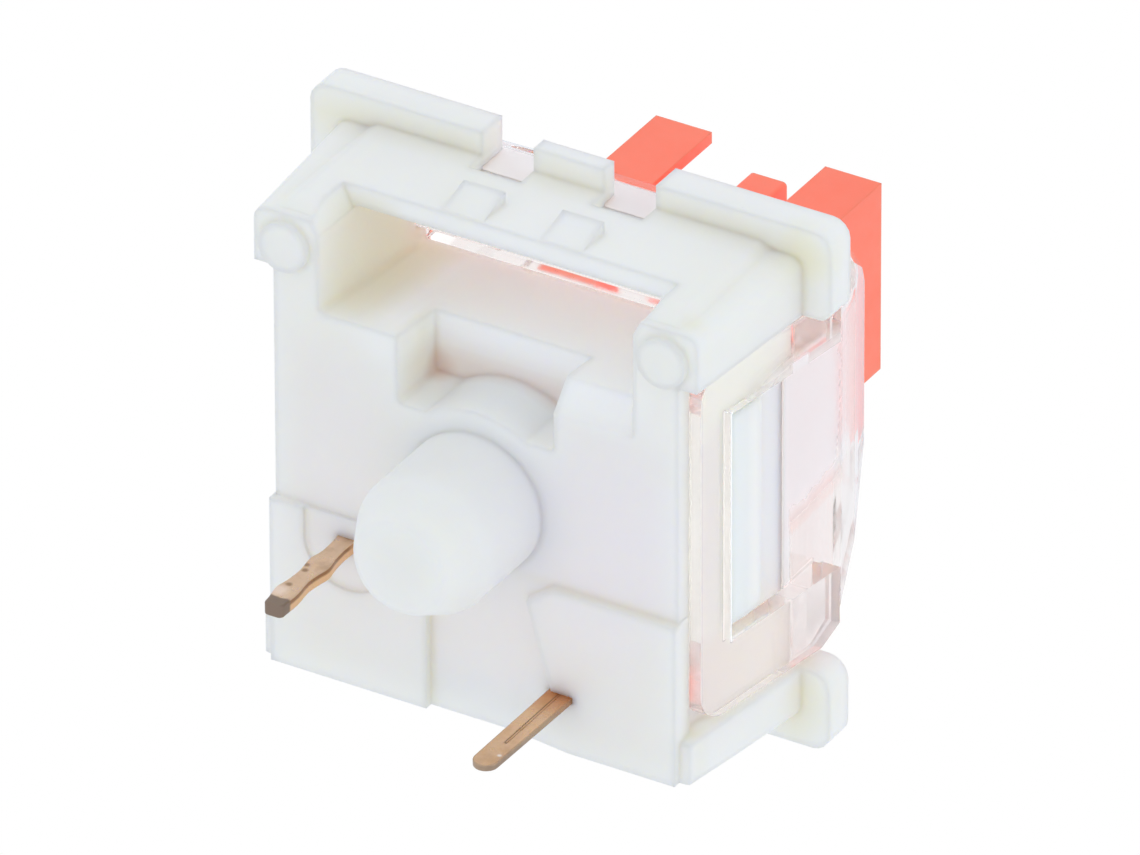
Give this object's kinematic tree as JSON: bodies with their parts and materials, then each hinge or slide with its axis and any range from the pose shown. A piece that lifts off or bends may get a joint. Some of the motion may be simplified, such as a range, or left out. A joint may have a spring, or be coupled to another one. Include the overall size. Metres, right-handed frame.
{
  "type": "cross-stem keyboard switch",
  "caption": "Plate-mounted push switch for a keyboard key: cross stem on a return spring closes a leaf contact between two soldered pins.",
  "frame": {"origin": "on the locating pole's axis, in the plane of the bottom pads that rest on the circuit board", "axes": "+Z towards the keycap, -Y on the side of the lamp slot, +Y on the side of the pins, +X completes the right-handed frame"},
  "size_m": [0.0156, 0.0156, 0.0191],
  "materials": {
    "milky_plastic": "milky translucent nylon, satin",
    "clear_plastic": "clear polycarbonate with a faint pink cast, polished",
    "coral_plastic": "coral red acetal, satin",
    "copper_terminal": "copper-coloured sheet with a dark worn tip",
    "copper_leaf": "thin spring copper",
    "spring_steel": "drawn spring wire",
    "gold_contact": "gold-coloured contact bar"
  },
  "bodies": {
    "housing": {"bottom_housing": "milky_plastic", "top_housing": "clear_plastic", "fixed_terminal": "copper_terminal", "fixed_contact_point": "gold_contact", "moving_terminal": "copper_terminal", "return_spring": "spring_steel"},
    "stem": {"stem": "coral_plastic"},
    "leaf": {"moving_leaf": "copper_leaf", "moving_contact_point": "gold_contact"}
  },
  "joints": [
    {"name": "stem_slide", "type": "slide", "parent": "housing", "child": "stem", "axis": [0, 0, -1], "range_m": [0, 0.004], "stiffness_N_per_m": 80, "springref_m": -0.0035, "deforming": ["return_spring"]},
    {"name": "leaf_swing", "type": "hinge", "parent": "housing", "child": "leaf", "pos_m": [0, 0.00549, 0.00195], "axis": [1, 0, 0], "range_deg": [0, 5.3]}
  ],
  "couplings": [
    {"joint": "leaf_swing", "follows": "stem_slide", "rad_per_m": 22.5}
  ]
}
